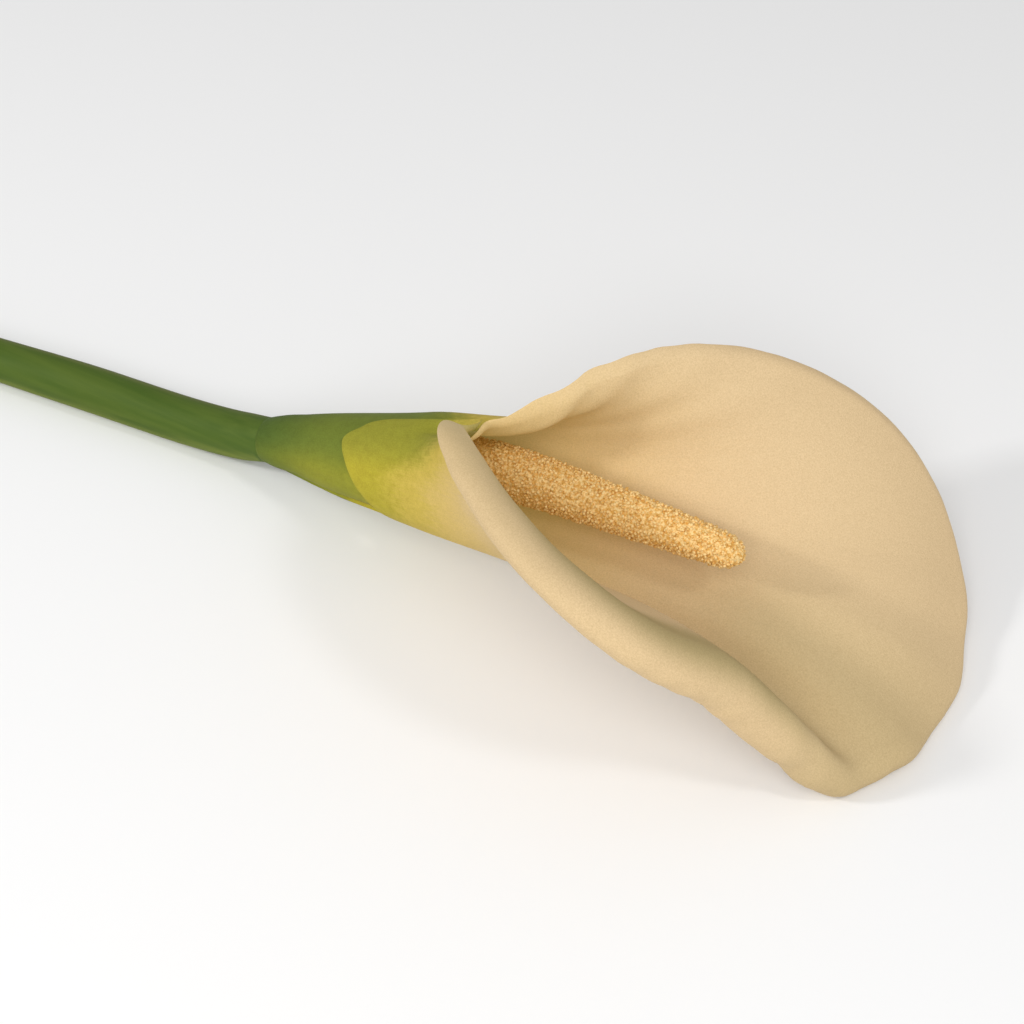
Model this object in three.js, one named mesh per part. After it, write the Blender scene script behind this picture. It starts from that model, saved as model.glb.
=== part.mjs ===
// A cut calla lily (Zantedeschia) lying on its back: a green stem, one white leaf-like spathe
// rolled into a funnel, and the spadix that stands inside it. Millimetres and degrees, +Z up.
//
// The flower is shaped in its own frame first. Its axis is +X, and an angle round the axis counts
// from the midrib, which is the underside, through the near half (90) to the top of the tube (180),
// where the two halves meet. The far half has the negative angles.
import * as THREE from "three";
import { mergeVertices } from "three/addons/utils/BufferGeometryUtils.js";

// ---- driving dimensions ----
const TILT = 17; // the tube rises this much from the surface it lies on
const BASE_HEIGHT = 11.5; // the middle of the tube's foot above that surface
const TUBE_LENGTH = 48;
const TUBE_FOOT_RADIUS = 5.6;
const TUBE_MOUTH_RADIUS = 13.6;
const TUBE_FOOT_SLOPE = 15;
const TUBE_MOUTH_SLOPE = 10;
const LIMB_HANDLE = 0.38; // how far the limb follows its end directions, as a share of its chord
const SHEET_THICKNESS = 0.8;
const LAYER_STEP = 1.3; // from one layer to the next where the tube is wrapped twice
const MIDDLE_LAYER = 0.15; // shares the step between the outer and the inner layer
const LAYER_START = 12; // the two layers have parted fully this far above the foot
const BELLY = 1; // the tube is this much fuller on its underside
const BELLY_RISE = [6, 24]; // heights between which the belly comes
const BELLY_FALL = [40, 75]; // heights between which it goes
const REST_SOFTNESS = 2; // how gently the rim settles where it meets the surface
const FIRST_ANGLE = -328; // the inner margin, tucked under the outer one
const LAST_ANGLE = 182; // the end of the outer flap

const STEM_RADIUS = 6.0;
const STEM_CUT_RADIUS = 5.3;
const STEM_NECK_RADIUS = 4.8; // the part inside the foot of the tube
const STEM_NECK_LENGTH = 6;
const SPADIX_FOOT = 6.7; // clear of the neck
const JOINT_GAP = 0.3;

const SPADIX_END = 6; // the length of its rounded end
const SPADIX_END_DROP = 0.94; // how much of its section the end loses
const FLORET_HEIGHT = 0.8;
const FLORETS_ROUND = 14;
const FLORET_RINGS = 66;

const SHEET_COLUMNS = 85;
const SHEET_ROWS = 22;
const ROW_CROWDING = 1.3; // over 1, the rows lie closer together towards the rolled margin
const TUBE_STEPS = 16;
const LIMB_STEPS = 40;
const ROLL_STEPS = 16;
const STEM_SIDES = 18;
const STEM_STEPS = 24;

// The crest of the limb, where the sheet starts to roll back. One line holds: angle, reach along
// the axis, distance from the axis, slope at the crest, radius of the roll and its sweep.
const CREST = [
  [-328, 18, 8.7, 11, 1, 30],
  [-315, 38, 11.9, 11, 1, 30],
  [-290, 50, 14, 12, 1, 30],
  [-240, 56, 14.8, 14, 1, 40],
  [-205, 62, 15.6, 20, 1, 46],
  [-190, 67, 16.4, 30, 0.8, 50],
  [-178, 70, 16.9, 42, 0.7, 58],
  [-168, 74, 17.4, 54, 0.8, 68],
  [-156, 80, 20.2, 66, 1.2, 76],
  [-145, 86, 23.4, 70, 1.6, 78],
  [-120, 99, 35, 70, 2.4, 78],
  [-95, 119, 49, 70, 2.9, 78],
  [-70, 140.5, 62.3, 70, 3.1, 78],
  [-45, 157, 66.5, 70, 3.1, 78],
  [-20, 165.5, 62.8, 68, 3.1, 84],
  [-10, 166, 59.8, 63, 3.2, 100],
  [0, 165.7, 57, 56, 3.7, 140],
  [10, 163.5, 54, 46, 4.5, 165],
  [20, 157, 53, 36, 5.2, 178],
  [32, 151.5, 42.2, 27, 5.8, 188],
  [45, 146.5, 34.8, 22, 5.9, 194],
  [58, 143, 31.4, 22, 5.8, 194],
  [70, 140, 30.8, 22, 5.9, 194],
  [82, 135.5, 32.8, 22, 6.1, 194],
  [95, 129, 36.2, 22, 6.1, 194],
  [108, 119, 38.8, 22, 6, 194],
  [120, 105.5, 38.6, 22, 5.7, 194],
  [132, 93, 36.3, 23, 5.2, 192],
  [145, 80.5, 30.8, 25, 4.5, 188],
  [156, 71.8, 23.6, 28, 3.4, 160],
  [165, 66.6, 18.2, 30, 2, 110],
  [172, 66, 16.3, 24, 1.2, 80],
  [178, 64.5, 15.5, 16, 1.1, 60],
  [182, 62, 15.1, 12, 1, 40],
];
// The lower edge of the outer flap, which wraps back over the tube: angle, height above the foot.
const FLAP_EDGE = [
  [30, 0],
  [33, 20],
  [38, 43],
  [44, 45.5],
  [50, 44],
  [58, 41.5],
  [68, 39.5],
  [80, 38],
  [95, 36],
  [111, 34.3],
  [127, 32.6],
  [141, 31.1],
  [152, 30.6],
  [160, 31.8],
  [168, 34.5],
  [175, 36.4],
  [180, 39.5],
  [182, 43],
];
// The middle of the stem, from its cut end to where it leaves the surface.
const STEM_PATH = [
  [-118, -10.2, 5.3],
  [-84, -6.4, 5.45],
  [-54, -3.2, 5.85],
  [-28, -0.9, 6.1],
];
const STEM_RISE = 12; // the length that lines up with the tube
// The middle of the spadix, in the flower's own frame.
const SPADIX_PATH = [
  [SPADIX_FOOT, 0, 0],
  [36, 3, 0.6],
  [66, 5, -1.8],
  [97, 3.6, -6.4],
  [130.5, 0.5, -11],
];
// The spadix: share of its length, and its radius there.
const SPADIX_GIRTH = [
  [0, 5.0],
  [0.15, 6.0],
  [0.42, 6.5],
  [0.7, 5.4],
  [0.95, 4.0],
  [1, 3.8],
];

const rad = THREE.MathUtils.degToRad;

// A smooth curve through the rows of a table, read at one angle. Column 0 holds the angles.
function along(table, column, angle) {
  const last = table.length - 1;
  const at = THREE.MathUtils.clamp(angle, table[0][0], table[last][0]);
  let i = 0;
  while (i < last - 1 && at > table[i + 1][0]) i++;
  const slope = (k) => {
    const a = table[Math.max(k - 1, 0)];
    const b = table[Math.min(k + 1, last)];
    return (b[column] - a[column]) / (b[0] - a[0]);
  };
  const span = table[i + 1][0] - table[i][0];
  const t = (at - table[i][0]) / span;
  const t2 = t * t;
  const t3 = t2 * t;
  return (
    (2 * t3 - 3 * t2 + 1) * table[i][column] +
    (t3 - 2 * t2 + t) * span * slope(i) +
    (3 * t2 - 2 * t3) * table[i + 1][column] +
    (t3 - t2) * span * slope(i + 1)
  );
}

// The tube's radius at a height above its foot.
function tubeRadius(x) {
  const t = x / TUBE_LENGTH;
  const t2 = t * t;
  const t3 = t2 * t;
  return (
    (2 * t3 - 3 * t2 + 1) * TUBE_FOOT_RADIUS +
    (t3 - 2 * t2 + t) * TUBE_LENGTH * Math.tan(rad(TUBE_FOOT_SLOPE)) +
    (3 * t2 - 2 * t3) * TUBE_MOUTH_RADIUS +
    (t3 - t2) * TUBE_LENGTH * Math.tan(rad(TUBE_MOUTH_SLOPE))
  );
}

// One line of the sheet from its lower edge to its free margin, at one angle round the axis:
// up the tube, out over the limb to the crest, and round the roll.
function meridian(angle) {
  const [reach, radius, slope, roll, sweep] = [1, 2, 3, 4, 5].map((c) => along(CREST, c, angle));
  const start = angle > FLAP_EDGE[0][0] ? along(FLAP_EDGE, 1, angle) : 0;
  const tubeEnd = Math.min(TUBE_LENGTH, reach);
  const points = [];
  for (let i = 0; i <= TUBE_STEPS; i++) {
    const x = start + ((tubeEnd - start) * i) / TUBE_STEPS;
    points.push(new THREE.Vector2(x, tubeRadius(x)));
  }
  const crest = new THREE.Vector2(reach, radius);
  const mouth = points[points.length - 1];
  if (reach > TUBE_LENGTH) {
    const handle = LIMB_HANDLE * crest.distanceTo(mouth);
    const out = new THREE.Vector2(Math.cos(rad(TUBE_MOUTH_SLOPE)), Math.sin(rad(TUBE_MOUTH_SLOPE)));
    const back = new THREE.Vector2(Math.cos(rad(slope)), Math.sin(rad(slope)));
    const limb = new THREE.CubicBezierCurve(
      mouth,
      mouth.clone().addScaledVector(out, handle),
      crest.clone().addScaledVector(back, -handle),
      crest,
    );
    points.push(...limb.getPoints(LIMB_STEPS).slice(1));
  } else {
    crest.copy(mouth);
  }
  for (let i = 1; i <= ROLL_STEPS; i++) {
    const turned = rad(slope + (sweep * i) / ROLL_STEPS);
    points.push(
      new THREE.Vector2(
        crest.x + roll * (Math.sin(turned) - Math.sin(rad(slope))),
        crest.y - roll * (Math.cos(turned) - Math.cos(rad(slope))),
      ),
    );
  }
  return points;
}

// Points along a polyline, closer together towards its end, where the sheet rolls.
function spread(points, count) {
  const lengths = [0];
  for (let i = 1; i < points.length; i++) {
    lengths.push(lengths[i - 1] + points[i].distanceTo(points[i - 1]));
  }
  const total = lengths[lengths.length - 1];
  const found = [];
  let k = 1;
  for (let i = 0; i <= count; i++) {
    const target = total * (1 - Math.pow(1 - i / count, ROW_CROWDING));
    while (k < points.length - 1 && lengths[k] < target) k++;
    const t = (target - lengths[k - 1]) / (lengths[k] - lengths[k - 1]);
    found.push(points[k - 1].clone().lerp(points[k], Math.min(t, 1)));
  }
  return found;
}

// From the flower's own frame to the lying flower.
function lie(x, y, z) {
  const tilt = rad(TILT);
  return new THREE.Vector3(
    x * Math.cos(tilt) - z * Math.sin(tilt),
    y,
    x * Math.sin(tilt) + z * Math.cos(tilt) + BASE_HEIGHT,
  );
}

// How much the tube hangs out on its underside.
function belly(x, angle) {
  const rise = THREE.MathUtils.smoothstep(x, ...BELLY_RISE);
  const fall = 1 - THREE.MathUtils.smoothstep(x, ...BELLY_FALL);
  return BELLY * rise * fall * Math.max(Math.cos(rad(angle)), 0);
}

// The middle of the sheet: one column of points for each angle.
function sheetPoints() {
  const columns = [];
  for (let c = 0; c <= SHEET_COLUMNS; c++) {
    const angle = FIRST_ANGLE + ((LAST_ANGLE - FIRST_ANGLE) * c) / SHEET_COLUMNS;
    columns.push(
      spread(meridian(angle), SHEET_ROWS).map(({ x, y: radius }) => {
        const parted = THREE.MathUtils.smoothstep(x, 0, LAYER_START);
        const r = radius + LAYER_STEP * parted * (angle / 360 - MIDDLE_LAYER) + belly(x, angle);
        const p = lie(x, -r * Math.sin(rad(angle)), -r * Math.cos(rad(angle)));
        p.z = (p.z + Math.hypot(p.z, REST_SOFTNESS)) / 2;
        return p;
      }),
    );
  }
  return columns;
}

// A closed sheet of one thickness round a grid of middle points. Both faces are split alike.
function sheetSolid(columns, thickness) {
  const width = columns.length;
  const height = columns[0].length;
  const clampTo = (v, n) => Math.min(Math.max(v, 0), n - 1);
  const at = (c, r) => columns[clampTo(c, width)][clampTo(r, height)];
  const positions = [];
  for (const side of [1, -1]) {
    for (let c = 0; c < width; c++) {
      for (let r = 0; r < height; r++) {
        const across = at(c + 1, r).clone().sub(at(c - 1, r));
        const up = at(c, r + 1).clone().sub(at(c, r - 1));
        const normal = across.cross(up).normalize();
        positions.push(...at(c, r).clone().addScaledVector(normal, (side * thickness) / 2).toArray());
      }
    }
  }
  const front = (c, r) => c * height + r;
  const back = (c, r) => width * height + front(c, r);
  const index = [];
  for (let c = 0; c < width - 1; c++) {
    for (let r = 0; r < height - 1; r++) {
      const [a, b, d, e] = [[c, r], [c + 1, r], [c + 1, r + 1], [c, r + 1]];
      index.push(front(...a), front(...b), front(...d), front(...a), front(...d), front(...e));
      index.push(back(...a), back(...d), back(...b), back(...a), back(...e), back(...d));
    }
  }
  const loop = [];
  for (let c = 0; c < width - 1; c++) loop.push([c, 0]);
  for (let r = 0; r < height - 1; r++) loop.push([width - 1, r]);
  for (let c = width - 1; c > 0; c--) loop.push([c, height - 1]);
  for (let r = height - 1; r > 0; r--) loop.push([0, r]);
  loop.forEach((a, i) => {
    const b = loop[(i + 1) % loop.length];
    index.push(front(...a), back(...a), back(...b), front(...a), back(...b), front(...b));
  });
  const geometry = new THREE.BufferGeometry();
  geometry.setAttribute("position", new THREE.Float32BufferAttribute(positions, 3));
  geometry.setIndex(index);
  return geometry;
}

// A turned profile, bent along a path. The profile's heights are lengths from the path's start.
function turnedAlong(profile, sides, path, relief = () => 0) {
  let geometry = new THREE.LatheGeometry(profile, sides);
  geometry.deleteAttribute("normal");
  geometry.deleteAttribute("uv");
  geometry = mergeVertices(geometry, 1e-4);
  const length = path.getLength();
  const position = geometry.getAttribute("position");
  const local = new THREE.Vector3();
  for (let i = 0; i < position.count; i++) {
    local.fromBufferAttribute(position, i);
    const share = THREE.MathUtils.clamp(local.y / length, 0, 1);
    const middle = path.getPointAt(share);
    const forward = path.getTangentAt(share);
    middle.addScaledVector(forward, local.y - share * length);
    const sideways = new THREE.Vector3(0, 0, 1).cross(forward).normalize();
    const upwards = forward.clone().cross(sideways);
    const radius = Math.hypot(local.x, local.z);
    const turned = Math.atan2(local.z, local.x);
    const grown = radius > 0.01 ? 1 + relief(turned, local.y) / radius : 1;
    middle.addScaledVector(upwards, local.x * grown).addScaledVector(sideways, local.z * grown);
    position.setXYZ(i, middle.x, middle.y, middle.z);
  }
  return geometry;
}

function part(name, geometry, color, roughness) {
  geometry.computeVertexNormals();
  const material = new THREE.MeshStandardMaterial({ color, roughness, metalness: 0 });
  const mesh = new THREE.Mesh(geometry, material);
  mesh.name = name;
  return mesh;
}

// The stem lies on the surface, then lifts into the foot of the tube.
function stem() {
  const neckEnd = lie(STEM_NECK_LENGTH, 0, 0);
  const foot = lie(-JOINT_GAP, 0, 0);
  const lying = STEM_PATH.map((point) => new THREE.Vector3(...point));
  const path = new THREE.CatmullRomCurve3([...lying, lie(-STEM_RISE, 0, 0), foot, neckEnd]);
  const length = path.getLength();
  const neck = length - neckEnd.distanceTo(foot);
  const profile = [new THREE.Vector2(0, 0)];
  for (let i = 0; i <= STEM_STEPS; i++) {
    const grown = THREE.MathUtils.smoothstep(i / STEM_STEPS, 0.1, 0.6);
    const radius = THREE.MathUtils.lerp(STEM_CUT_RADIUS, STEM_RADIUS, grown);
    profile.push(new THREE.Vector2(radius, (neck * i) / STEM_STEPS));
  }
  profile.push(new THREE.Vector2(STEM_NECK_RADIUS, neck));
  profile.push(new THREE.Vector2(STEM_NECK_RADIUS - 0.4, length));
  profile.push(new THREE.Vector2(0, length));
  return part("stem", turnedAlong(profile, STEM_SIDES, path), 0x5a7430, 0.5);
}

// The spadix stands on the stem's end and leans a little towards the midrib. Its florets are
// raised from the surface in staggered rings.
function spadix() {
  const path = new THREE.CatmullRomCurve3(SPADIX_PATH.map((point) => lie(...point)));
  const length = path.getLength();
  const radiusAt = (y) => {
    const end = THREE.MathUtils.clamp((y - (length - SPADIX_END)) / SPADIX_END, 0, 1);
    return along(SPADIX_GIRTH, 1, y / length) * Math.sqrt(1 - SPADIX_END_DROP * end * end);
  };
  const ringStep = length / (FLORET_RINGS + 1);
  const profile = [new THREE.Vector2(0, 0)];
  for (let i = 0; i <= FLORET_RINGS; i++) {
    profile.push(new THREE.Vector2(radiusAt(i * ringStep), i * ringStep));
  }
  profile.push(new THREE.Vector2(0, length));
  const relief = (turned, y) =>
    (FLORET_HEIGHT / 2) * Math.cos(FLORETS_ROUND * turned) * Math.cos((Math.PI * y) / ringStep);
  return part("spadix", turnedAlong(profile, 2 * FLORETS_ROUND, path, relief), 0xe0b56c, 0.85);
}

function spathe() {
  return part("spathe", sheetSolid(sheetPoints(), SHEET_THICKNESS), 0xead7ac, 0.6);
}

const flower = new THREE.Group();
flower.add(stem(), spathe(), spadix());

// The origin is on the surface, under the middle of the flower's box.
const box = new THREE.Box3().setFromObject(flower, true);
const middle = box.getCenter(new THREE.Vector3());
flower.position.set(-middle.x, -middle.y, -box.min.z);

export default flower;
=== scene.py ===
# %% [markdown]
# # A cut calla lily
# A calla has three pieces: a smooth green stem, one leaf-like spathe rolled into a funnel, and a
# spadix, the spike of tiny florets that stands in it. The physical model of the same flower is
# loaded first, as a fixed frame. Each piece is then made again on that frame, with the thin
# margins, grains and colours that a physical model can do without. The scene is in metres. The
# tables and named sizes below are in millimetres and degrees, unless they say otherwise.

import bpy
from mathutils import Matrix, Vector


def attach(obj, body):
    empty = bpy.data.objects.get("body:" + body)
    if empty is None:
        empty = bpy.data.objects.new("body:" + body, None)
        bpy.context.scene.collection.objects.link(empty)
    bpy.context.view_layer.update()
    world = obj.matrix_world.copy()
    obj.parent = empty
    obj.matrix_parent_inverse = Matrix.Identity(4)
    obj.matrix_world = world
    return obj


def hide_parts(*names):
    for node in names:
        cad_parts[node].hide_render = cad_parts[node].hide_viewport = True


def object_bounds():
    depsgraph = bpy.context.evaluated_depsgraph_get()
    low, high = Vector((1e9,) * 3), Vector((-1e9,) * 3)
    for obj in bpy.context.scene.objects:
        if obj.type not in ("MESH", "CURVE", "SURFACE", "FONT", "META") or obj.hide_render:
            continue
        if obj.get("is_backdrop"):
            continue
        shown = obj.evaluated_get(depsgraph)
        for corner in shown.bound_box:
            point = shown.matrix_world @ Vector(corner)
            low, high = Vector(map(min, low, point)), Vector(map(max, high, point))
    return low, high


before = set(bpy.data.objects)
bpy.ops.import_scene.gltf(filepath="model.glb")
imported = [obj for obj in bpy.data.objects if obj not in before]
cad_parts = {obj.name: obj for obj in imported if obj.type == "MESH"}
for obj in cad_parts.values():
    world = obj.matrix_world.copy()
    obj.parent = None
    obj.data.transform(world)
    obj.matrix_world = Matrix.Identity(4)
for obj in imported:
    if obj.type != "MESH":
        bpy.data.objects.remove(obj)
cad_box = [list(corner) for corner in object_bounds()]

import random
from math import cos, hypot, pi, radians, sin, sqrt, tan

import bmesh
import bpy
from mathutils import Matrix, Vector, noise

print("frame:", sorted(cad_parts))
print("its box in mm:", [[round(v * 1000) for v in corner] for corner in cad_box])

# %% [markdown]
# ## The camera
# The flower lies on its back, and the camera looks down at it from beside the mouth, so that the
# eye goes into the funnel. The lens is long, as for a portrait of a small thing, so the near and
# the far side of the mouth stay in proportion.

# %% Place the camera
MM = 0.001
CAMERA_PLACE = Vector((230.824, -339.84, 441.875)) * MM
CAMERA_ELEVATION = 47.5
CAMERA_AZIMUTH = 29.8
LENS = 85
SENSOR_WIDTH = 36
NEAREST = 0.01  # metres

camera_data = bpy.data.cameras.new("camera")
camera_data.lens = LENS
camera_data.sensor_width = SENSOR_WIDTH
camera_data.clip_start = NEAREST
camera = bpy.data.objects.new("camera", camera_data)
camera.location = CAMERA_PLACE
camera.rotation_euler = (radians(90 - CAMERA_ELEVATION), 0, radians(CAMERA_AZIMUTH))
bpy.context.collection.objects.link(camera)
bpy.context.scene.camera = camera
print("camera at", [round(v, 3) for v in camera.location])

# %% [markdown]
# ## The studio
# The petal shows its form through soft shading, so most of the light comes from a broad box in
# front and from a pale room that fills the shadows. Two smaller lamps, one on each side, give the
# lip its bright edge and let the spike cast its shadow. The floor is a plain pale sheet, and the
# flower's lowest point meets it.

# %% Two helpers that every piece needs
SCREEN_TOE = 10.3  # below this eight-bit value the screen's curve is a straight line
SCREEN_TOE_SCALE = 3294.6


def linear(*rgb):
    """A colour given as eight-bit screen values, in the linear values that nodes take."""
    curved = [((v / 255 + 0.055) / 1.055) ** 2.4 for v in rgb]
    return [v / SCREEN_TOE_SCALE if v < SCREEN_TOE else c for v, c in zip(rgb, curved)] + [1.0]


def add_piece(name, mesh_builder, smooth=True):
    """Makes the object of a finished bmesh. Its place is in its mesh."""
    mesh = bpy.data.meshes.new(name)
    mesh_builder.to_mesh(mesh)
    mesh_builder.free()
    if smooth:
        mesh.shade_smooth()
    piece = bpy.data.objects.new(name, mesh)
    bpy.context.collection.objects.link(piece)
    return piece


print("a middle grey is", round(linear(128)[0], 3), "in linear values")

# %% Lay the floor
FLOOR_SIZE = 6.0  # metres
FLOOR_WHITE = 0.9
FLOOR_ROUGHNESS = 0.9

floor_builder = bmesh.new()
bmesh.ops.create_grid(floor_builder, x_segments=1, y_segments=1, size=FLOOR_SIZE / 2)
floor = add_piece("floor", floor_builder, smooth=False)
floor_paper = bpy.data.materials.new("floor_paper")
floor_paper.use_nodes = True
paper = floor_paper.node_tree.nodes["Principled BSDF"]
paper.inputs["Base Color"].default_value = (FLOOR_WHITE, FLOOR_WHITE, FLOOR_WHITE, 1)
paper.inputs["Roughness"].default_value = FLOOR_ROUGHNESS
floor.data.materials.append(floor_paper)
floor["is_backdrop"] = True
print("floor:", FLOOR_SIZE, "m wide")

# %% Light the room
ROOM_STRENGTH = 0.46
MOUTH = Vector((0.07, 0, 0.03))  # metres

room = bpy.data.worlds.new("room")
room.use_nodes = True
room.node_tree.nodes["Background"].inputs["Color"].default_value = (1, 1, 1, 1)
room.node_tree.nodes["Background"].inputs["Strength"].default_value = ROOM_STRENGTH
bpy.context.scene.world = room
bpy.context.scene.view_settings.view_transform = "Standard"


def soft_box(name, direction, size, power):
    """A square area light, a metre from the mouth of the flower, that looks at it."""
    data = bpy.data.lights.new(name, "AREA")
    data.size = size
    data.energy = power
    light = bpy.data.objects.new(name, data)
    light.location = MOUTH + Vector(direction).normalized()
    light.rotation_euler = (-Vector(direction)).to_track_quat("-Z", "Y").to_euler()
    light.visible_camera = False
    bpy.context.collection.objects.link(light)
    return light


soft_box("left_lamp", (-0.62, -0.54, 0.57), 0.1, 2.75)
soft_box("front_box", (0.29, -0.61, 0.74), 0.6, 4.6)
soft_box("right_lamp", (0.55, -0.05, 0.83), 0.14, 1.2)
print("lights:", [light.name for light in bpy.data.lights])

# %% [markdown]
# ## Reading a table as a smooth curve
# The edge of a petal is a curve without a formula, so a few rows say what it does at a few
# angles, and a smooth cubic runs through them. The flower's own frame has its axis along X, and
# an angle round that axis counts from the midrib, underneath, through the near half (90) to the
# top (180), where the two halves lap. The far half has the negative angles.

# %% Define the tables and the curve through them
CREST = [  # angle, reach, distance from the axis, slope, radius of the roll, sweep of the roll
    (-328, 18, 8.7, 11, 1, 30),
    (-315, 38, 11.9, 11, 1, 30),
    (-290, 50, 14, 12, 1, 30),
    (-240, 56, 14.8, 14, 1, 40),
    (-205, 64, 15.6, 20, 1, 46),
    (-190, 68.5, 16, 26, 1.1, 96),
    (-178, 70.1, 16.2, 34, 1.4, 100),
    (-168, 74.2, 16, 46, 1.6, 94),
    (-156, 80.5, 17.8, 58, 2.8, 90),
    (-145, 86.5, 21.3, 64, 3.1, 84),
    (-120, 99.3, 33.8, 68, 3.3, 80),
    (-95, 119, 49, 70, 2.9, 78),
    (-70, 140.5, 62.3, 70, 3.1, 78),
    (-45, 157, 66.5, 70, 3.1, 78),
    (-20, 165.5, 62.8, 68, 3.1, 84),
    (-10, 166, 59.8, 63, 3.2, 100),
    (0, 165.7, 57, 56, 3.7, 140),
    (10, 163.5, 54, 46, 4.5, 165),
    (20, 157, 53, 36, 5.2, 178),
    (32, 151.5, 42.2, 27, 5.8, 188),
    (45, 146.5, 34.8, 22, 5.9, 194),
    (58, 143, 31.4, 22, 5.8, 194),
    (70, 140, 30.8, 22, 5.9, 194),
    (82, 135.5, 32.8, 22, 6.1, 194),
    (95, 129, 36.2, 22, 6.1, 194),
    (108, 119, 38.8, 22, 6, 194),
    (120, 105.5, 38.6, 22, 5.7, 194),
    (132, 93, 36.3, 23, 5.2, 192),
    (145, 80.5, 30.8, 25, 4.5, 188),
    (156, 71.8, 23.6, 28, 3.4, 160),
    (165, 67.5, 18, 28, 2, 110),
    (172, 68.6, 17.2, 24, 1.5, 80),
    (178, 69, 17.4, 18, 1.1, 60),
    (182, 68.6, 17.4, 14, 1, 40),
]
FLAP_EDGE = [  # angle, height of the outer flap's lower edge above the foot
    (30, 0), (33, 20), (38, 43), (44, 45.5), (50, 44), (58, 41.5),
    (68, 39.5), (80, 38), (95, 36), (111, 34.3), (127, 32.6), (141, 31.1),
    (152, 30.6), (160, 31.8), (168, 34.5), (175, 36.4), (180, 39.5), (182, 43),
]
FIRST_ANGLE = CREST[0][0]
LAST_ANGLE = CREST[-1][0]


def along(table, column, at):
    """Reads one column of a table as a smooth curve through its rows."""
    last = len(table) - 1
    at = min(max(at, table[0][0]), table[last][0])
    i = 0
    while i < last - 1 and at > table[i + 1][0]:
        i += 1

    def slope(k):
        a, b = table[max(k - 1, 0)], table[min(k + 1, last)]
        return (b[column] - a[column]) / (b[0] - a[0])

    span = table[i + 1][0] - table[i][0]
    t = (at - table[i][0]) / span
    return (
        (2 * t**3 - 3 * t**2 + 1) * table[i][column]
        + (t**3 - 2 * t**2 + t) * span * slope(i)
        + (3 * t**2 - 2 * t**3) * table[i + 1][column]
        + (t**3 - t**2) * span * slope(i + 1)
    )


print("reach at the midrib:", along(CREST, 1, 0), "mm, at the lap:", along(CREST, 1, 180), "mm")

# %% [markdown]
# ## One line of the sheet
# The spathe is a single sheet, so it is made as a grid whose columns run from the foot to the
# free margin. Each column is one plane line: up the narrow tube, out over the limb, and round the
# roll of the lip. The limb is a Bezier curve, because its two ends have known directions.

# %% Define the tube
TUBE_LENGTH = 48
TUBE_FOOT_RADIUS = 5.6
TUBE_MOUTH_RADIUS = 13.6
TUBE_FOOT_SLOPE = 15
TUBE_MOUTH_SLOPE = 10


def smooth(low, high, x):
    """Goes smoothly from 0 at low to 1 at high."""
    t = min(max((x - low) / (high - low), 0), 1)
    return t * t * (3 - 2 * t)


def tube_radius(x):
    """The tube's radius at a height above its foot."""
    t = x / TUBE_LENGTH
    return (
        (2 * t**3 - 3 * t**2 + 1) * TUBE_FOOT_RADIUS
        + (t**3 - 2 * t**2 + t) * TUBE_LENGTH * tan(radians(TUBE_FOOT_SLOPE))
        + (3 * t**2 - 2 * t**3) * TUBE_MOUTH_RADIUS
        + (t**3 - t**2) * TUBE_LENGTH * tan(radians(TUBE_MOUTH_SLOPE))
    )


def lower_edge(angle):
    """The height of the sheet's lower edge above the foot."""
    return along(FLAP_EDGE, 1, angle) if angle > FLAP_EDGE[0][0] else 0


print("the tube is", round(2 * tube_radius(TUBE_LENGTH), 1), "mm wide at its mouth")

# %% Define a column of the sheet
TUBE_STEPS = 24
LIMB_STEPS = 60
ROLL_STEPS = 24
LIMB_HANDLE = 0.38
WAVE = 1.0  # a real margin is never quite even: waves in millimetres, degrees and a share
WAVE_SWEEP = 14
WAVE_ROLL = 0.14
WAVE_FROM = (70, 90)  # the waves grow as the margin reaches out
CALM_HALF = (20, 50)  # and are weaker from these angles on, in the near half
CALM = 0.65


def ripple(angle, pitch, row):
    """A smooth random value that changes every few degrees round the margin."""
    return noise.noise(Vector((angle / pitch, row, 0)))


def direction(slope):
    """One unit along a line that rises by a slope in degrees."""
    return Vector((cos(radians(slope)), sin(radians(slope))))


def meridian(angle):
    """Points (height, radius) from the sheet's lower edge to its free margin, at one angle."""
    reach, radius, slope, roll, sweep = [along(CREST, column, angle) for column in range(1, 6)]
    free = smooth(*WAVE_FROM, reach) * (1 - CALM * smooth(*CALM_HALF, angle))
    reach += WAVE * free * ripple(angle, 11, 0.3)
    sweep += WAVE_SWEEP * free * ripple(angle, 8, 7.3)
    roll *= 1 + WAVE_ROLL * free * ripple(angle, 6, 3.1)
    start, tube_end = lower_edge(angle), min(TUBE_LENGTH, reach)
    heights = [start + (tube_end - start) * i / TUBE_STEPS for i in range(TUBE_STEPS + 1)]
    points = [Vector((x, tube_radius(x))) for x in heights]
    crest = points[-1].copy()
    if reach > TUBE_LENGTH:
        mouth, crest = points[-1], Vector((reach, radius))
        handle = LIMB_HANDLE * (crest - mouth).length
        a, b = mouth + direction(TUBE_MOUTH_SLOPE) * handle, crest - direction(slope) * handle
        for i in range(1, LIMB_STEPS + 1):
            t = i / LIMB_STEPS
            near_mouth = mouth * (1 - t) ** 3 + a * (3 * t * (1 - t) ** 2)
            points.append(near_mouth + b * (3 * t**2 * (1 - t)) + crest * t**3)
    from_x, from_y = sin(radians(slope)), cos(radians(slope))
    for i in range(1, ROLL_STEPS + 1):
        turned = radians(slope + sweep * i / ROLL_STEPS)
        points.append(crest + roll * Vector((sin(turned) - from_x, from_y - cos(turned))))
    return points


print("a column is worked out from", len(meridian(0)), "points")

# %% Space the points of a column
ROW_CROWDING = 1.3


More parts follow.
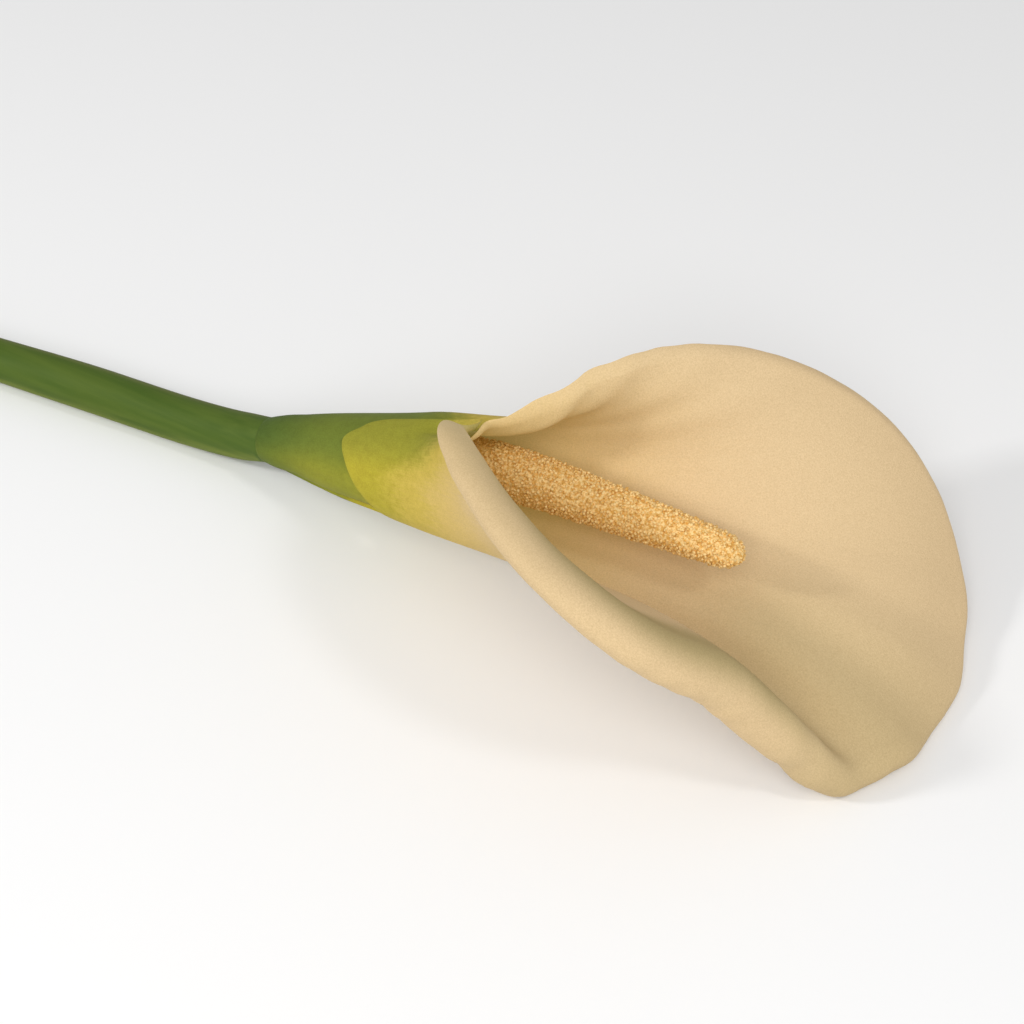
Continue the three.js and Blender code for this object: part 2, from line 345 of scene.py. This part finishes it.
def spread(points, count):
    """Places count + 1 points along a polyline, closer together towards its end."""
    lengths = [0]
    for a, b in zip(points, points[1:]):
        lengths.append(lengths[-1] + (b - a).length)
    found, k = [], 1
    for i in range(count + 1):
        target = lengths[-1] * (1 - (1 - i / count) ** ROW_CROWDING)
        while k < len(points) - 1 and lengths[k] < target:
            k += 1
        t = min((target - lengths[k - 1]) / (lengths[k] - lengths[k - 1]), 1)
        found.append((points[k - 1].lerp(points[k], t), target, lengths[-1]))
    return found


print("length of the midrib:", round(spread(meridian(0), 10)[-1][1], 1), "mm")

# %% [markdown]
# ## The lying flower
# The tube rises a little from the surface, and the rim of the mouth settles on it. The same two
# functions take every point to its place in the scene, so that all the pieces agree.

# %% Define the place of the flower
TILT = 17
BASE_HEIGHT = 11.5
SHIFT = Vector((-29.286, -6.5, 0.075))


def place(x, y, z):
    """From the lying flower's measures in millimetres to the scene."""
    return (Vector((x, y, z)) + SHIFT) * MM


def lie(x, y, z):
    """From the flower's own frame to the scene."""
    tilt = radians(TILT)
    return place(x * cos(tilt) - z * sin(tilt), y, x * sin(tilt) + z * cos(tilt) + BASE_HEIGHT)


print("the tube's foot is at", [round(v, 4) for v in lie(0, 0, 0)])

# %% [markdown]
# ## The spathe
# A real spathe is a leaf turned petal: under a millimetre thick, thinner at its margin, with fine
# parallel veins. It is laid out as a flat grid, because a grid keeps one column for each vein
# line, and every vertex is then moved to its place. Two UV maps stay on it: where a point is on
# the sheet, and how far it is from the margin.

# %% Lay out the sheet
COLUMNS = 340
ROWS = 104
LAYER_STEP = 1.3
MIDDLE_LAYER = 0.15
LAYER_START = 12
BELLY = 1.0
BELLY_RISE = (6, 24)
BELLY_FALL = (40, 75)
REST_SOFTNESS = 2
SHEET_UNIT = 250  # millimetres of sheet in one unit of its UV maps

sheet = []
for c in range(COLUMNS + 1):
    angle = FIRST_ANGLE + (LAST_ANGLE - FIRST_ANGLE) * c / COLUMNS
    start = lower_edge(angle)
    column = []
    for (x, radius), length, total in spread(meridian(angle), ROWS):
        r = radius + LAYER_STEP * smooth(0, LAYER_START, x) * (angle / 360 - MIDDLE_LAYER)
        hang = smooth(*BELLY_RISE, x) * (1 - smooth(*BELLY_FALL, x))
        r += BELLY * hang * max(cos(radians(angle)), 0)
        point = lie(x, -r * sin(radians(angle)), -r * cos(radians(angle)))
        height = point.z / MM - SHIFT.z
        point.z = ((height + hypot(height, REST_SOFTNESS)) / 2 + SHIFT.z) * MM
        column.append((point, start + length, total - length))
    sheet.append(column)
print("sheet:", COLUMNS + 1, "columns of", ROWS + 1, "points")

# %% Build the sheet
spathe_builder = bmesh.new()
bmesh.ops.create_grid(spathe_builder, x_segments=COLUMNS, y_segments=ROWS, size=0.5)
where_uv = spathe_builder.loops.layers.uv.new("where")
margin_uv = spathe_builder.loops.layers.uv.new("margin")
cells = {
    vertex: (round((vertex.co.x + 0.5) * COLUMNS), round((vertex.co.y + 0.5) * ROWS))
    for vertex in spathe_builder.verts
}
for face in spathe_builder.faces:
    for loop in face.loops:
        c, r = cells[loop.vert]
        point, length, to_margin = sheet[c][r]
        loop[where_uv].uv = (c / COLUMNS, length / SHEET_UNIT)
        loop[margin_uv].uv = (c / COLUMNS, to_margin / SHEET_UNIT)
for vertex, (c, r) in cells.items():
    vertex.co = sheet[c][r][0]
spathe = add_piece("spathe_sheet", spathe_builder)
print("spathe:", len(spathe.data.polygons), "faces before its thickness")

# %% Give the sheet its thickness
SHEET_THICKNESS = 0.9
MARGIN_SHARE = 0.45  # the share of the thickness that is left at the margin
MARGIN_WIDTH = 18
FOOT_SHARE = 0.15
FOOT_WIDTH = 8
RIM_BEVEL = 0.14
RIM_ANGLE = 60

thickness = spathe.vertex_groups.new(name="thickness")
for vertex, (c, r) in zip(spathe.data.vertices, cells.values()):
    _, from_foot, to_margin = sheet[c][r]
    margin_share = MARGIN_SHARE + (1 - MARGIN_SHARE) * smooth(0, MARGIN_WIDTH, to_margin)
    foot_share = FOOT_SHARE + (1 - FOOT_SHARE) * smooth(0, FOOT_WIDTH, from_foot)
    thickness.add([vertex.index], margin_share * foot_share, "REPLACE")
wall = spathe.modifiers.new("wall", "SOLIDIFY")
wall.thickness = SHEET_THICKNESS * MM
wall.offset = 0
wall.vertex_group = "thickness"
wall.material_offset = 1
wall.material_offset_rim = 1
rim = spathe.modifiers.new("rim", "BEVEL")
rim.width = RIM_BEVEL * MM
rim.segments = 2
rim.limit_method = "ANGLE"
rim.angle_limit = radians(RIM_ANGLE)
print("spathe wall up to", SHEET_THICKNESS, "mm")

# %% [markdown]
# ## Shader maths as plain expressions
# A finish is a graph of nodes, which is slow to read as a list of links. One small class wraps a
# socket and takes Python's operators, so that an expression on it adds its Math nodes. Any other
# node comes from one method, which sets the node up and then feeds its sockets.

# %% Define the helpers for finishes
class Value:
    """The output of a node, as a number that Python's operators work on."""

    def __init__(self, finish, socket):
        self.finish, self.socket = finish, socket

    def math(self, operation, *others, swapped=False):
        values = (*others, self) if swapped else (self, *others)
        return self.finish.add("Math", {"operation": operation}, dict(enumerate(values)))

    def __add__(self, other):
        return self.math("ADD", other)

    def __radd__(self, other):
        return self.math("ADD", other, swapped=True)

    def __sub__(self, other):
        return self.math("SUBTRACT", other)

    def __rsub__(self, other):
        return self.math("SUBTRACT", other, swapped=True)

    def __mul__(self, other):
        return self.math("MULTIPLY", other)

    def __rmul__(self, other):
        return self.math("MULTIPLY", other, swapped=True)

    def step(self, low, high):
        """Goes smoothly from 0 at low to 1 at high."""
        settings = {"interpolation_type": "SMOOTHSTEP"}
        inputs = {"Value": self, "From Min": low, "From Max": high}
        return self.finish.add("MapRange", settings, inputs)


class Finish:
    """A material whose nodes are added one call at a time."""

    def __init__(self, name, **constants):
        self.material = bpy.data.materials.new(name)
        self.material.use_nodes = True
        self.tree = self.material.node_tree
        self.shader = self.tree.nodes["Principled BSDF"]
        for socket, value in constants.items():
            self.shader.inputs[socket.replace("_", " ")].default_value = value

    def add(self, kind, settings=None, inputs=None, output=0):
        node = self.tree.nodes.new("ShaderNode" + kind)
        for name, value in (settings or {}).items():
            setattr(node, name, value)
        for name, value in (inputs or {}).items():
            self.feed(node.inputs[name], value)
        return Value(self, node.outputs[output])

    def feed(self, socket, value):
        if isinstance(value, Value):
            self.tree.links.new(value.socket, socket)
        else:
            socket.default_value = value

    def object_place(self):
        """The place of a point on its own object."""
        return self.add("TexCoord", {}, {}, output=3)

    def parts_of(self, vector):
        """The three numbers of a vector."""
        outputs = self.add("SeparateXYZ", {}, {0: vector}).socket.node.outputs
        return [Value(self, output) for output in outputs]

    def blend(self, factor, a, b, how="MIX"):
        """Mixes two colours."""
        settings = {"data_type": "RGBA", "blend_type": how}
        return self.add("Mix", settings, {0: factor, 6: a, 7: b}, output=2)

    def sheet_uv(self, name):
        """The two numbers of a UV map."""
        return self.parts_of(self.add("UVMap", {"uv_map": name}))[:2]

    def noise(self, vector, scale, detail=2.0, roughness=0.5):
        """A noise pattern from 0 to 1 on a vector."""
        inputs = {"Vector": vector, "Scale": scale, "Detail": detail, "Roughness": roughness}
        return self.add("TexNoise", {}, inputs)

    def finish(self, color, roughness, bump=None, bump_distance=0.0001, bump_strength=1.0):
        """Feeds the shader."""
        self.feed(self.shader.inputs["Base Color"], color)
        self.feed(self.shader.inputs["Roughness"], roughness)
        if bump is not None:
            heights = {"Height": bump, "Distance": bump_distance, "Strength": bump_strength}
            self.feed(self.shader.inputs["Normal"], self.add("Bump", {}, heights))
        return self.material


print("finishes are made of nodes that are added by expressions")

# %% [markdown]
# ## The finish of the spathe
# The sheet is green where it grows from the stem, then yellow-green, then cream, and the outer
# flap is lighter than the tube inside it. All of this runs along the veins, so the pattern reads
# the sheet's own UV maps and not its place in space. The veins are a noise stretched along them,
# and a very fine noise stands for the down that makes a petal look like velvet.

# %% Find where a point is on the sheet
ANGLE_SPAN = LAST_ANGLE - FIRST_ANGLE
SKIN_SPECULAR = 0.15
FIBRES_ROUND, FIBRES_ALONG = 150, 9


class Skin:
    """A finish for one face of the spathe, with the measures that its colours follow."""

    def __init__(self, name):
        self.petal = petal = Finish(name, Specular_IOR_Level=SKIN_SPECULAR)
        turn, length = petal.sheet_uv("where")
        self.height = length * SHEET_UNIT
        self.angle = turn * ANGLE_SPAN + FIRST_ANGLE
        self.upward = 0 - (self.angle * (pi / 180)).math("COSINE")
        space = petal.object_place()
        fibre_place = {0: turn * FIBRES_ROUND, 1: length * FIBRES_ALONG, 2: 0.0}
        self.fibres = petal.noise(petal.add("CombineXYZ", {}, fibre_place), 3.0, detail=3.0)
        self.mottle = petal.noise(space, 500.0, detail=3.0, roughness=0.6)
        self.clouds = petal.noise(space, 60.0, detail=3.0)
        self.down = petal.noise(space, 3000.0, detail=1.0, roughness=0.6)
        fine = (self.fibres - 0.5) * 12 + (self.mottle - 0.5) * 8
        self.wander = fine + (self.clouds - 0.5) * 8

    def finish(self, base, stain):
        """Stains a colour with the down, and gives the skin its relief."""
        shade = stain + (self.down - 0.5) * 0.55 + 0.12
        color = self.petal.blend(shade, base, linear(170, 154, 116), "MULTIPLY")
        relief = self.down * 0.5 + self.mottle * 0.25 + self.fibres * 0.25
        roughness = 0.6 + 0.15 * self.clouds
        return self.petal.finish(color, roughness, relief, 0.0002, 0.5)


print("skins follow the sheet over", ANGLE_SPAN, "degrees")

# %% [markdown]
# ## The outer skin
# On the outside the inner layer shows first, as a green cone. The flap over it starts
# yellow-green. Both turn yellow and then cream higher up, later on top than underneath. Both
# are a darker green on top: partly their own tone and partly painted shade.

# %% Colour the outer skin
outer = Skin("petal_outer_skin")
mix = outer.petal.blend
flap = outer.angle.step(28, 34) * outer.height.step(22, 30)
foot = mix(outer.height.step(0, 24), linear(100, 115, 38), linear(145, 146, 44))
# painted shade in part: the top of the cone is a darker green than its underside
foot_top_shaded = mix(outer.height.step(0, 26), linear(80, 101, 38), linear(110, 123, 44))
cone = mix(outer.upward.step(0.1, 0.9), foot, foot_top_shaded)
top = outer.upward.step(0.45, 0.98)
underneath = 0 - outer.upward
# painted shade in part: the flap is a darker green on top than underneath
young_shaded_top = mix(top, linear(180, 167, 50), linear(148, 146, 48))
up = outer.height + outer.wander - 16 * top + 5 * underneath.step(0.2, 0.9)
base = mix(flap, mix(up.step(30, 50), cone, young_shaded_top), young_shaded_top)
for low, high, color in (
    (40, 56, linear(203, 179, 80)),
    (54, 70, linear(216, 187, 112)),
    (66, 88, linear(222, 194, 148)),
):
    base = mix(up.step(low, high), base, color)
spots = (0.5 - outer.mottle) * 0.5 * (1 - up.step(45, 75))
veins = (outer.fibres - 0.5) * 0.2 * (1 - up.step(70, 95))
outer_skin = outer.finish(base, spots + veins)
print("the outer skin has", len(outer.petal.tree.nodes), "nodes")

# %% [markdown]
# ## The inner skin
# The inside goes from gold in the throat to cream. The near lip is painted a little darker,
# most towards the lap, and the hollow behind it and the midrib near the tip are painted duller:
# this is painted shade. The end that laps over the other half is green. A thin petal also lets
# some light through from outside. That would take a long time to trace, so a faint warm glow
# deep in the throat, painted light, stands for it.

# %% Colour the inner skin
inner = Skin("petal_inner_skin")
mix = inner.petal.blend
angle = inner.angle
up = inner.height + inner.wander
to_margin = inner.petal.sheet_uv("margin")[1] * SHEET_UNIT
near = angle.step(25, 50)
base = mix(up.step(28, 62), linear(186, 160, 88), linear(218, 188, 134))
base = mix(up.step(60, 115), base, linear(228, 200, 156))
# painted shade: the roll of the near lip is a little darker
base = mix(near * (1 - to_margin.step(4, 20)) * 0.5, base, linear(220, 192, 146))
# painted shade: the near lip is darker towards the lap
base = mix(angle.step(92, 128) * 0.9, base, linear(211, 185, 142))
# painted shade: the hollow behind the near lip, and the midrib near the tip, are duller
hollow_shade = near * to_margin.step(9, 18) * (1 - to_margin.step(22, 34)) * 0.9
hollow_shade = hollow_shade + angle.step(-40, 12) * (1 - angle.step(20, 50)) * up.step(95, 140) * 0.5
base = mix(hollow_shade, base, linear(182, 163, 114))
base = mix(angle.step(158, 172) * 0.8, base, linear(158, 152, 78))
glow = mix(up.step(40, 132), linear(94, 89, 46), linear(0, 0, 0))
inner.petal.feed(inner.petal.shader.inputs["Emission Color"], glow)
inner.petal.shader.inputs["Emission Strength"].default_value = 1.0
inner_skin = inner.finish(base, (0.5 - inner.mottle) * 0.08)
print("the inner skin has", len(inner.petal.tree.nodes), "nodes")

# %% Put the skins on the sheet
spathe.data.materials.append(inner_skin)
spathe.data.materials.append(outer_skin)
print("petal skins:", [m.name for m in spathe.data.materials])

# %% [markdown]
# ## Round pieces along a line
# The stem and the spike are both round and slightly bent. A ring is pulled along the piece's line
# in short steps, each ring turned to face along the line and brought to its own radius. An
# extruded ring keeps the faces even, which a swept curve would not do at a change of radius.

# %% Draw a line through points
CURVE_PARTS = 40


def line_through(points, count):
    """A smooth line through points: count + 1 places and directions at even steps."""
    found = []
    ends = [points[0] * 2 - points[1], *points, points[-1] * 2 - points[-2]]
    for a, b, c, d in zip(ends, ends[1:], ends[2:], ends[3:]):
        for i in range(CURVE_PARTS):
            t = i / CURVE_PARTS
            bend, pull = a * 2 - b * 5 + c * 4 - d, b * 3 - a - c * 3 + d
            found.append((b * 2 + (c - a) * t + bend * t**2 + pull * t**3) / 2)
    found.append(points[-1])
    lengths = [0]
    for a, b in zip(found, found[1:]):
        lengths.append(lengths[-1] + (b - a).length)
    line, k = [], 1
    for i in range(count + 1):
        target = lengths[-1] * i / count
        while k < len(found) - 1 and lengths[k] < target:
            k += 1
        t = (target - lengths[k - 1]) / (lengths[k] - lengths[k - 1])
        line.append((found[k - 1].lerp(found[k], t), (found[k] - found[k - 1]).normalized()))
    return line, lengths[-1]


def facing(spot, forward):
    """The turn and the place of a ring that faces along a direction, with its X up."""
    sideways = Vector((0, 0, 1)).cross(forward).normalized()
    turn = Matrix((forward.cross(sideways), sideways, forward)).transposed()
    return Matrix.Translation(spot) @ turn.to_4x4()


print("a line has", CURVE_PARTS, "parts between two of its points")

# %% Pull a ring along it
def next_ring(builder, edges):
    """Extrudes a ring of edges on the spot, and returns the new points and edges."""
    made = bmesh.ops.extrude_edge_only(builder, edges=edges)["geom"]
    points = [part for part in made if isinstance(part, bmesh.types.BMVert)]
    return points, [part for part in made if isinstance(part, bmesh.types.BMEdge)]


def pull_ring(builder, line, sides, radius_at):
    """Pulls a capped ring along a line, with a radius for each share of it."""
    at = facing(*line[0])
    bmesh.ops.create_circle(
        builder, segments=sides, radius=radius_at(0) * MM, cap_ends=True, matrix=at
    )
    edges = list(builder.edges)
    for i, (spot, forward) in enumerate(line[1:], 1):
        next_at = facing(spot, forward)
        ring, edges = next_ring(builder, edges)
        bmesh.ops.transform(builder, matrix=next_at @ at.inverted(), verts=ring)
        radius = radius_at(i / (len(line) - 1))
        for vertex in ring:
            vertex.co = spot + (vertex.co - spot).normalized() * radius * MM
        at = next_at
    return edges


def close_ring(builder, edges):
    """Caps the last ring and points every face outwards."""
    bmesh.ops.contextual_create(builder, geom=edges)
    bmesh.ops.recalc_face_normals(builder, faces=builder.faces)


print("rings can be pulled along a line")

# %% [markdown]
# ## The stem
# The stem is a thick round stalk with a smooth waxy skin and a clean cut at one end. It lies on
# the surface, lifts towards the flower, and a short neck goes into the foot of the spathe. The
# stalk's end is a hair wider than the foot, so no gap shows between them.

# %% Pull the stalk
STEM_RADIUS = 6.0
STEM_CUT_RADIUS = 5.3
STEM_END_RADIUS = 5.64
STEM_SWELL = (0.1, 0.6)
STEM_SHOULDER = (0.93, 1)
STEM_SIDES = 64
STEM_STEPS = 90

stem_points = [
    place(-118, -10.2, STEM_CUT_RADIUS),
    place(-84, -6.4, STEM_CUT_RADIUS + 0.15),
    place(-54, -3.2, STEM_RADIUS - 0.15),
    place(-28, -0.9, STEM_RADIUS + 0.1),
    lie(-12, 0, 0),
    lie(0.1, 0, 0),
]


def stem_radius(share):
    """The stalk's radius at a share of its length."""
    radius = STEM_CUT_RADIUS + (STEM_RADIUS - STEM_CUT_RADIUS) * smooth(*STEM_SWELL, share)
    return radius + (STEM_END_RADIUS - STEM_RADIUS) * smooth(*STEM_SHOULDER, share)


stem_line, stem_length = line_through(stem_points, STEM_STEPS)
stem_builder = bmesh.new()
stem_ring = pull_ring(stem_builder, stem_line, STEM_SIDES, stem_radius)
print("stem:", round(stem_length / MM), "mm long,", len(stem_builder.verts), "points")

# %% Close the stem with its neck
STEM_NECK_RADIUS = 4.8
STEM_NECK_TAPER = 0.4
STEM_NECK_LENGTH = 6
STEM_BEVEL = 0.3
STEM_BEVEL_ANGLE = 50

middle, forward = stem_line[-1]
for radius, height in (
    (STEM_NECK_RADIUS, 0),
    (STEM_NECK_RADIUS - STEM_NECK_TAPER, STEM_NECK_LENGTH),
):
    ring, stem_ring = next_ring(stem_builder, stem_ring)
    for vertex in ring:
        out = (vertex.co - middle) - forward * (vertex.co - middle).dot(forward)
        vertex.co = middle + out.normalized() * radius * MM + forward * height * MM
close_ring(stem_builder, stem_ring)
stem_builder.normal_update()
side_uv = stem_builder.loops.layers.uv.new("side")
for face in stem_builder.faces:
    for loop in face.loops:
        loop[side_uv].uv = (0.5 + loop.vert.normal.y / 2, 0.5 + loop.vert.normal.z / 2)
stem = add_piece("stem_stalk", stem_builder)
stem_edge = stem.modifiers.new("edge", "BEVEL")
stem_edge.width = STEM_BEVEL * MM
stem_edge.segments = 3
stem_edge.limit_method = "ANGLE"
stem_edge.angle_limit = radians(STEM_BEVEL_ANGLE)
print("stem stalk:", len(stem.data.polygons), "faces")

# %% [markdown]
# ## The finish of the stem
# The skin has fine streaks along the stalk and a few paler patches. The low flank on the near
# side is paler, partly the skin's own colour and partly painted light, and the opposite flank
# turns a brownish yellow. So its UV map says which way each point faces: sideways and upright.

# %% Colour the stem
FLANK_SIDEWAYS, FLANK_UPRIGHT = 1.28, 1.35

skin = Finish("stem_skin", Specular_IOR_Level=SKIN_SPECULAR)
space = skin.object_place()
stretched = skin.add("Mapping", {}, {"Vector": space, "Scale": (25, 500, 500)})
streaks = skin.noise(stretched, 1.0, detail=3.0)
patches = skin.noise(space, 60.0, detail=3.0)
across, upright = skin.sheet_uv("side")
flank = (0.5 - across) * FLANK_SIDEWAYS + (0.5 - upright) * FLANK_UPRIGHT
# painted light in part: the low flank on the near side is paler
pale_and_lit = (flank + (streaks - 0.5) * 0.3).step(0.55, 1.0) * 0.7
green = skin.blend(streaks.step(0.25, 0.75), linear(68, 91, 30), linear(82, 102, 38))
green = skin.blend((patches - 0.4) * 0.6, green, linear(98, 110, 38))
green = skin.blend(pale_and_lit, green, linear(128, 138, 52))
green = skin.blend((0 - flank).step(0.8, 1.0) * 0.6, green, linear(120, 118, 58))
stem.data.materials.append(skin.finish(green, 0.5 + 0.2 * patches, streaks, 0.0001, 0.5))
print("stem skin:", len(skin.tree.nodes), "nodes")

# %% [markdown]
# ## The spadix
# The spike is a fleshy core covered with florets, each a grain of about a millimetre. A plain
# core is pulled first. The grains are then set on it along a spiral that turns by the golden
# angle, as a plant does, each one a small faceted ball with its own size, lean and depth.

# %% Pull the core of the spadix
SPADIX_GIRTH = [(0, 5.0), (0.15, 6.0), (0.42, 6.5), (0.7, 5.4), (0.95, 4.0), (1, 3.8)]
SPADIX_END = 6
SPADIX_END_CLOSING = 0.94
SPADIX_FOOT = 6.7
SPADIX_SIDES = 40
SPADIX_STEPS = 120
CORE_DEPTH = 0.15  # the core lies this far under the grains' middles
CORE_LEAST = 0.5

spadix_points = [
    lie(SPADIX_FOOT, 0, 0),
    lie(36, 3, 0.6),
    lie(66, 5, -1.8),
    lie(97, 3.6, -6.4),
    lie(130.5, 0.5, -11),
]
spadix_line, spadix_length = line_through(spadix_points, SPADIX_STEPS)
SPADIX_MM = spadix_length / MM


def spadix_radius(share):
    """The radius of the spike at a share of its length, with its rounded end."""
    end = min(max((share * SPADIX_MM - (SPADIX_MM - SPADIX_END)) / SPADIX_END, 0), 1)
    return along(SPADIX_GIRTH, 1, share) * sqrt(1 - SPADIX_END_CLOSING * end * end)


def core_radius(share):
    """The core starts as wide as the spike, and lies under the grains from there on."""
    if share == 0:
        return spadix_radius(0)
    return max(spadix_radius(share) - CORE_DEPTH, CORE_LEAST)


core_builder = bmesh.new()
close_ring(core_builder, pull_ring(core_builder, spadix_line, SPADIX_SIDES, core_radius))
print("spadix core:", round(SPADIX_MM), "mm long")

# %% Share out the grains by area
GRAINS = 5200
AREA_STEPS = 600

areas = [0]
for i in range(AREA_STEPS):
    areas.append(areas[-1] + spadix_radius((i + 0.5) / AREA_STEPS))
grain_shares, k = [], 0
for i in range(GRAINS):
    target = areas[-1] * (i + 0.5) / GRAINS
    while areas[k + 1] < target:
        k += 1
    grain_shares.append((k + (target - areas[k]) / (areas[k + 1] - areas[k])) / AREA_STEPS)
print("half of the grains lie within", round(grain_shares[GRAINS // 2], 2), "of the length")

# %% Make one grain
GRAIN_RADIUS = 0.46

grain_builder = bmesh.new()
bmesh.ops.create_icosphere(grain_builder, subdivisions=1, radius=GRAIN_RADIUS * MM)
grain = bpy.data.meshes.new("grain")
grain_builder.to_mesh(grain)
grain_builder.free()
print("a grain has", len(grain.polygons), "faces")

# %% Set the grains on the core
GOLDEN_ANGLE = 2.39996
SHARE_STRAY = 0.0028
TURN_STRAY = 0.07
LIFT_STRAY = (-0.4, 0.16)
GRAIN_WIDTH = (0.8, 1.15)
GRAIN_DEPTH = (0.8, 1.2)
GRAIN_HEIGHT = (0.7, 1.25)
GRAIN_LEAN = 0.5
chance = random.Random(7)

for i, share in enumerate(grain_shares):
    share = min(max(share + chance.uniform(-SHARE_STRAY, SHARE_STRAY), 0), 1)
    step = min(round(share * SPADIX_STEPS), SPADIX_STEPS)
    spot, forward = spadix_line[step]
    spot = spot + forward * (share * SPADIX_STEPS - step) * spadix_length / SPADIX_STEPS
    turn = i * GOLDEN_ANGLE + chance.uniform(-TURN_STRAY, TURN_STRAY)
    lift = spadix_radius(share) + chance.uniform(*LIFT_STRAY)
    size = chance.uniform(*GRAIN_HEIGHT)
    shape = Matrix.Diagonal((chance.uniform(*GRAIN_WIDTH), chance.uniform(*GRAIN_DEPTH), size, 1))
    spin = Matrix.Rotation(chance.uniform(0, pi), 4, "Z")
    lean = Matrix.Rotation(chance.uniform(-GRAIN_LEAN, GRAIN_LEAN), 4, "Y")
    around = Matrix.Rotation(turn, 4, "Z") @ Matrix.Translation((lift * MM, 0, 0))
    matrix = facing(spot, forward) @ around @ spin @ lean @ shape
    grain.transform(matrix)
    core_builder.from_mesh(grain)
    grain.transform(matrix.inverted())
bpy.data.meshes.remove(grain)
spadix = add_piece("spadix_spike", core_builder)
print("spadix:", GRAINS, "grains,", len(spadix.data.polygons), "faces")

# %% [markdown]
# ## The finish of the spadix
# The florets are a deeper gold in the tube and ripen to pale gold towards the end. Each colour is
# a pair, mixed by a noise about as fine as the grains, so that neighbours differ.

# %% Colour the spadix
RIPE = (0.012, 0.042)  # metres along the object's X

gold = Finish("spadix_grains", Specular_IOR_Level=0.25)
space = gold.object_place()
spots = gold.noise(space, 1300.0, detail=2.0)
clouds = gold.noise(space, 120.0, detail=2.0)
ripe = (gold.parts_of(space)[0] + (clouds - 0.5) * 0.03).step(*RIPE)
deep = gold.blend(ripe, linear(186, 136, 46), linear(222, 170, 86))
light = gold.blend(ripe, linear(224, 182, 92), linear(248, 216, 152))
tone = gold.blend(spots.step(0.35, 0.65), deep, light)
spadix.data.materials.append(gold.finish(tone, 0.5 + 0.2 * spots))
print("spadix grains:", len(gold.tree.nodes), "nodes")

# %% [markdown]
# ## Joining the frame
# Each new piece rides on the flower's one body and stands for its physical node, which is
# hidden. The size of the finished flower is written beside the frame's own.

# %% Ride on the frame and finish
for piece, node in ((stem, "stem"), (spathe, "spathe"), (spadix, "spadix")):
    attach(piece, "root")
    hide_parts(node)

bpy.context.view_layer.update()
new_box = [list(corner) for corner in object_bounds()]
print("visual box in mm:", [[round(v * 1000, 1) for v in corner] for corner in new_box])
